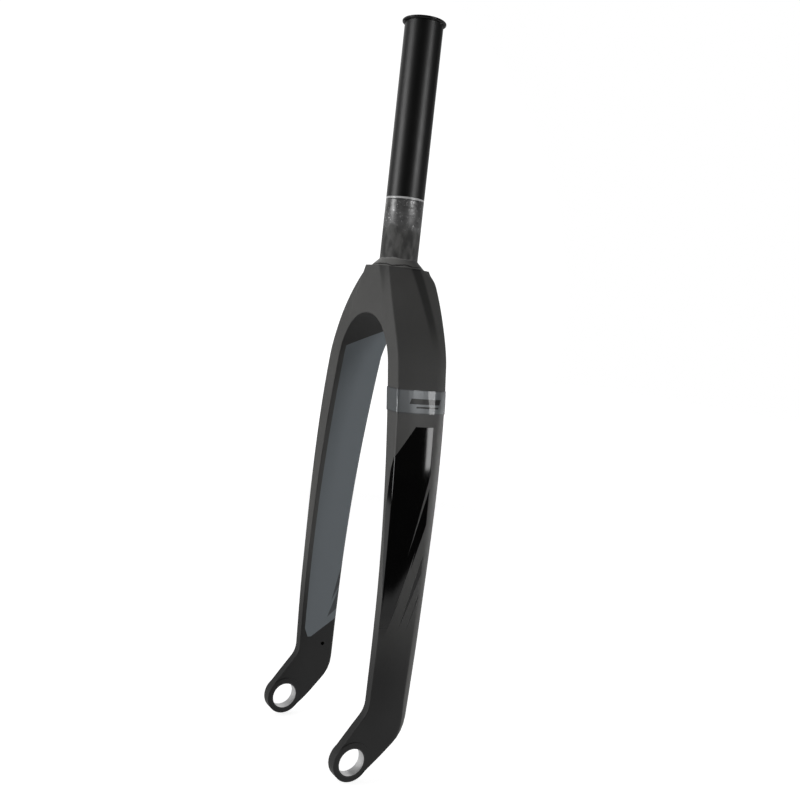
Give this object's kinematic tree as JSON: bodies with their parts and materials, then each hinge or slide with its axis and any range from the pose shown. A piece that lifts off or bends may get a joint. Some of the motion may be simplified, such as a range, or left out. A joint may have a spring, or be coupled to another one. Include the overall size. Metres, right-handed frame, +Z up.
{
  "type": "bicycle fork",
  "caption": "Rigid moulded bicycle fork: straight steerer with capped expander plug, crown race cone, hollow blades and thick flat dropouts with round thru-axle eyes.",
  "frame": {"origin": "on the steerer's axis, at the upper edge of the crown race's cone", "axes": "+Z up along the steerer, -Y to the front of the bicycle, +X to the rider's left"},
  "size_m": [0.1378, 0.0666, 0.5485],
  "materials": {
    "carbon": "matt and satin black paint over moulded carbon laminate, with gloss fields",
    "alloy_bore": "bare turned aluminium",
    "band": "silver grey gloss film",
    "black_alloy": "black anodised aluminium",
    "bolt_black": "black steel",
    "plug_alloy": "machined aluminium"
  },
  "bodies": {
    "root": {"fork_body": "carbon", "axle_insert_left": "alloy_bore", "axle_insert_right": "alloy_bore", "leg_band": "band", "top_cap": "black_alloy", "cap_bolt": "bolt_black", "plug_sleeve": "plug_alloy", "plug_cone": "plug_alloy", "plug_core": "bolt_black"}
  },
  "joints": []
}
